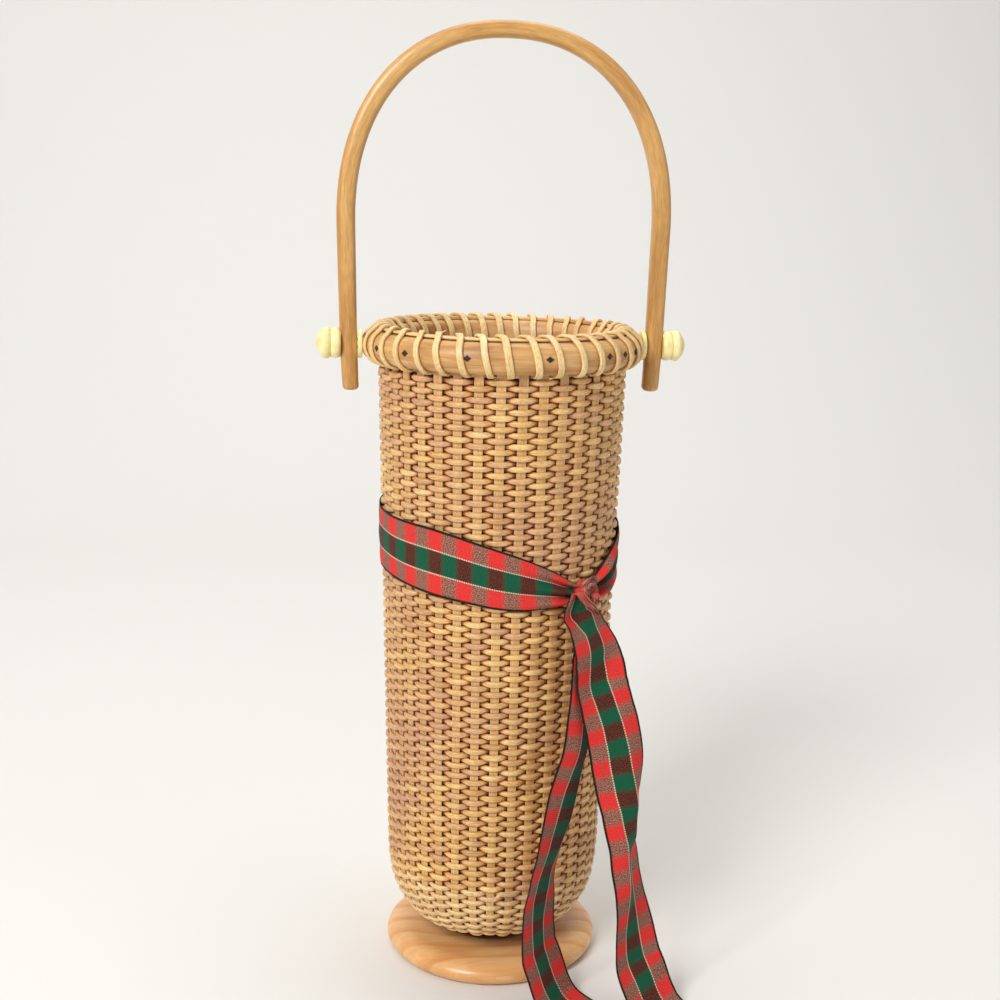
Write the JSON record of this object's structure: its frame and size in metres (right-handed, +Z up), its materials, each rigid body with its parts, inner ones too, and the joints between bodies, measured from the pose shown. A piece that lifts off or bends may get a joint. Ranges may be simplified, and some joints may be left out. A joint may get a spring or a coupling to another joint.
{
  "type": "wine bottle basket",
  "caption": "Tall round woven cane basket for one bottle, on a turned foot disc, with a lashed rim, a bent swing handle on turned pegs and a check ribbon tied round it.",
  "frame": {"origin": "centre of the foot disc's underside, where the basket rests", "axes": "+Z up along the basket's axis, X along the handle's pivots with the right-hand knob at +X, -Y towards the front, where the ribbon's tails fall"},
  "size_m": [0.1638, 0.1589, 0.3846],
  "materials": {
    "foot_wood": "clear satin lacquer, turned",
    "plug_wood": "clear satin lacquer",
    "screw_steel": "plain steel",
    "weaver_cane": "natural split cane, satin",
    "stave_cane": "natural cane, satin",
    "hoop_wood": "fine-grained half-round, satin",
    "lashing_cane": "natural flat cane, satin",
    "handle_wood": "steam-bent, clear satin lacquer",
    "bone": "polished, cream bone colour",
    "tartan_ribbon": "woven red and green check"
  },
  "bodies": {
    "basket": {"foot_disc": "foot_wood", "base_plug": "plug_wood", "base_screw": "screw_steel", "woven_wall": "weaver_cane", "outer_rim_hoop": "hoop_wood", "inner_rim_hoop": "hoop_wood", "rim_cap": "hoop_wood", "rim_lashing_back": "lashing_cane", "rim_lashing_front": "lashing_cane", "peg_left": "bone", "peg_right": "bone", "washer_left": "bone", "washer_right": "bone", "peg_cap_left": "bone", "peg_cap_right": "bone", "ribbon_band": "tartan_ribbon", "ribbon_knot": "tartan_ribbon", "ribbon_tail_left": "tartan_ribbon", "ribbon_tail_right": "tartan_ribbon", "stave_01": "stave_cane", "stave_02": "stave_cane", "stave_03": "stave_cane", "stave_04": "stave_cane", "stave_05": "stave_cane", "stave_06": "stave_cane", "stave_07": "stave_cane", "stave_08": "stave_cane", "stave_09": "stave_cane", "stave_10": "stave_cane", "stave_11": "stave_cane", "stave_12": "stave_cane", "stave_13": "stave_cane", "stave_14": "stave_cane", "stave_15": "stave_cane", "stave_16": "stave_cane", "stave_17": "stave_cane", "stave_18": "stave_cane", "stave_19": "stave_cane", "stave_20": "stave_cane", "stave_21": "stave_cane", "stave_22": "stave_cane", "stave_23": "stave_cane", "stave_24": "stave_cane", "stave_25": "stave_cane", "stave_26": "stave_cane", "stave_27": "stave_cane", "stave_28": "stave_cane", "stave_29": "stave_cane", "stave_30": "stave_cane", "stave_31": "stave_cane", "stave_32": "stave_cane", "stave_33": "stave_cane", "stave_34": "stave_cane", "stave_35": "stave_cane", "stave_36": "stave_cane", "stave_37": "stave_cane"},
    "handle": {"handle": "handle_wood"}
  },
  "joints": [
    {"name": "handle_swing", "type": "hinge", "parent": "basket", "child": "handle", "pos_m": [0, 0, 0.2598], "axis": [1, 0, 0], "range_deg": [-152, 138]}
  ]
}
